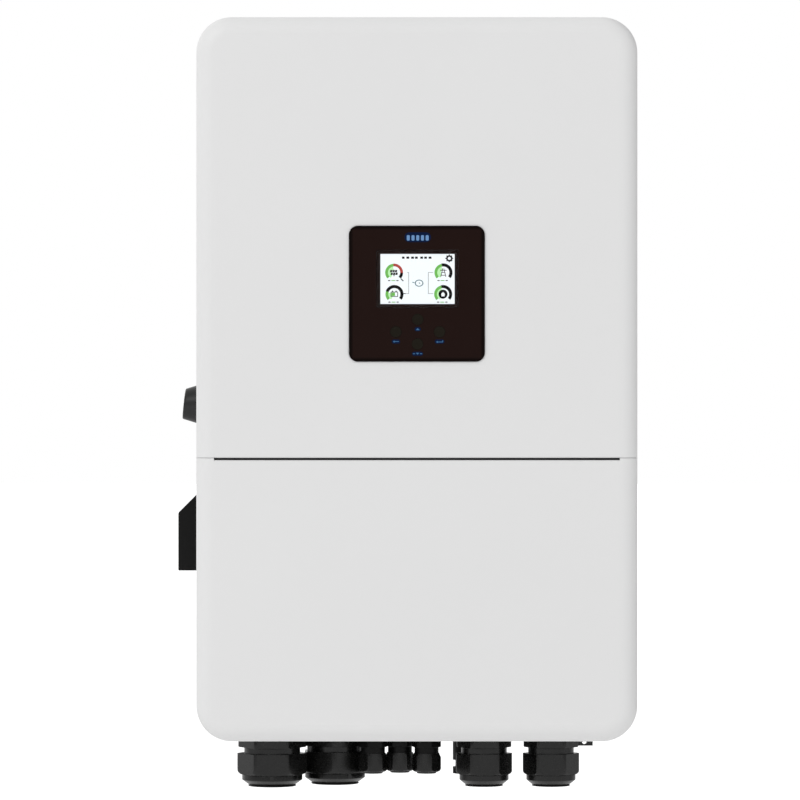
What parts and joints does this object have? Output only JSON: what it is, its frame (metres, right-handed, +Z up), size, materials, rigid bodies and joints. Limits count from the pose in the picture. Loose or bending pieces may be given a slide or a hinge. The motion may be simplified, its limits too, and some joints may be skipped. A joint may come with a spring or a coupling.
{
  "type": "string inverter",
  "caption": "Wall-hung string inverter: white rounded enclosure with a square dark display and keys, side isolator, rear heatsink with fans, and cable glands underneath.",
  "frame": {"origin": "centre of the wall bracket's four bolt holes, on the wall plane", "axes": "+Z up, +Y into the wall, so the front with the display faces -Y; +X to the right seen from the front"},
  "size_m": [0.4437, 0.2808, 0.7426],
  "materials": {
    "white_powder_coat": "fine-textured white powder coat",
    "zinc_sheet": "zinc-plated sheet",
    "bright_steel": "plain stainless",
    "black_steel": "black-coated steel",
    "gasket_rubber": "foam rubber",
    "seal_rubber": "moulded rubber",
    "panel_gloss": "gloss film over plastic",
    "lens": "clear window",
    "screen": "lit screen in a metal frame",
    "circuit_board": "solder-masked board",
    "key_plastic": "soft matt",
    "black_plastic": "moulded, fine grain",
    "knob_plastic": "moulded, fine grain",
    "dark_grey_plastic": "moulded",
    "grey_plastic": "moulded",
    "gland_plastic": "moulded nylon",
    "button_metal": "satin",
    "cast_aluminium": "extruded, natural",
    "capacitor_sleeve": "sleeved can",
    "copper_winding": "varnished winding",
    "brass": "turned"
  },
  "bodies": {
    "enclosure": {"rear_housing": "white_powder_coat", "compartment_shelf": "zinc_sheet", "front_cover": "white_powder_coat", "front_cover_gasket": "gasket_rubber", "wiring_cover_gasket": "gasket_rubber", "front_cover_screws": "bright_steel", "wiring_cover_screws": "black_steel", "display_panel": "panel_gloss", "display_lens": "lens", "lcd_module": "screen", "display_board": "circuit_board", "isolator_hood": "black_plastic", "isolator_body": "grey_plastic", "power_button_bezel": "dark_grey_plastic", "power_switch": "black_plastic", "battery_gland_bodies": "gland_plastic", "battery_gland_nuts": "gland_plastic", "battery_gland_seals": "seal_rubber", "signal_gland_bodies": "gland_plastic", "signal_gland_nuts": "gland_plastic", "signal_gland_seals": "seal_rubber", "ac_gland_bodies": "gland_plastic", "ac_gland_nuts": "gland_plastic", "ac_gland_seals": "seal_rubber", "gland_pads": "seal_rubber", "gland_locknuts": "gland_plastic", "pv_plus_sockets": "black_plastic", "pv_minus_plugs": "black_plastic", "data_port_cap": "black_plastic", "earth_terminal": "bright_steel", "heatsink": "cast_aluminium", "heatsink_screws": "bright_steel", "side_cheeks": "white_powder_coat", "side_handles": "black_plastic", "fan_tray": "zinc_sheet", "fan_frames": "black_plastic", "fan_guards": "bright_steel", "hanger_bar": "zinc_sheet", "hanger_screws": "bright_steel", "wall_bracket": "zinc_sheet", "lower_wall_tabs": "black_steel", "power_modules": "black_plastic", "power_board": "circuit_board", "dc_link_capacitors": "capacitor_sleeve", "filter_inductors": "copper_winding", "control_shield": "zinc_sheet", "control_board": "circuit_board", "battery_terminals": "brass", "ac_terminal_blocks": "grey_plastic", "signal_board": "circuit_board"},
    "wiring_cover": {"wiring_cover": "white_powder_coat"},
    "isolator_knob": {"isolator_knob": "knob_plastic"},
    "power_button": {"power_button": "button_metal"},
    "key_esc": {"key_esc": "key_plastic"},
    "key_up": {"key_up": "key_plastic"},
    "key_enter": {"key_enter": "key_plastic"},
    "key_down": {"key_down": "key_plastic"},
    "fan_rotor_left": {"fan_rotor_left": "black_plastic"},
    "fan_rotor_middle": {"fan_rotor_middle": "black_plastic"},
    "fan_rotor_right": {"fan_rotor_right": "black_plastic"}
  },
  "joints": [
    {"name": "wiring_cover_removal", "type": "slide", "parent": "enclosure", "child": "wiring_cover", "axis": [0, -1, 0], "range_m": [0, 0.15]},
    {"name": "isolator_turn", "type": "hinge", "parent": "enclosure", "child": "isolator_knob", "pos_m": [-0.211, -0.139, -0.3707], "axis": [-1, 0, 0], "range_deg": [0, 90]},
    {"name": "power_button_press", "type": "slide", "parent": "enclosure", "child": "power_button", "axis": [0.9942, 0, -0.108], "range_m": [0, 0.003]},
    {"name": "key_esc_press", "type": "slide", "parent": "enclosure", "child": "key_esc", "axis": [0, 1, 0], "range_m": [0, 0.0005]},
    {"name": "key_up_press", "type": "slide", "parent": "enclosure", "child": "key_up", "axis": [0, 1, 0], "range_m": [0, 0.0005]},
    {"name": "key_enter_press", "type": "slide", "parent": "enclosure", "child": "key_enter", "axis": [0, 1, 0], "range_m": [0, 0.0005]},
    {"name": "key_down_press", "type": "slide", "parent": "enclosure", "child": "key_down", "axis": [0, 1, 0], "range_m": [0, 0.0005]},
    {"name": "fan_left_spin", "type": "hinge", "parent": "enclosure", "child": "fan_rotor_left", "pos_m": [-0.11, -0.045, -0.464], "axis": [0, 0, 1], "continuous": true},
    {"name": "fan_middle_spin", "type": "hinge", "parent": "enclosure", "child": "fan_rotor_middle", "pos_m": [0, -0.045, -0.464], "axis": [0, 0, 1], "continuous": true},
    {"name": "fan_right_spin", "type": "hinge", "parent": "enclosure", "child": "fan_rotor_right", "pos_m": [0.11, -0.045, -0.464], "axis": [0, 0, 1], "continuous": true}
  ]
}
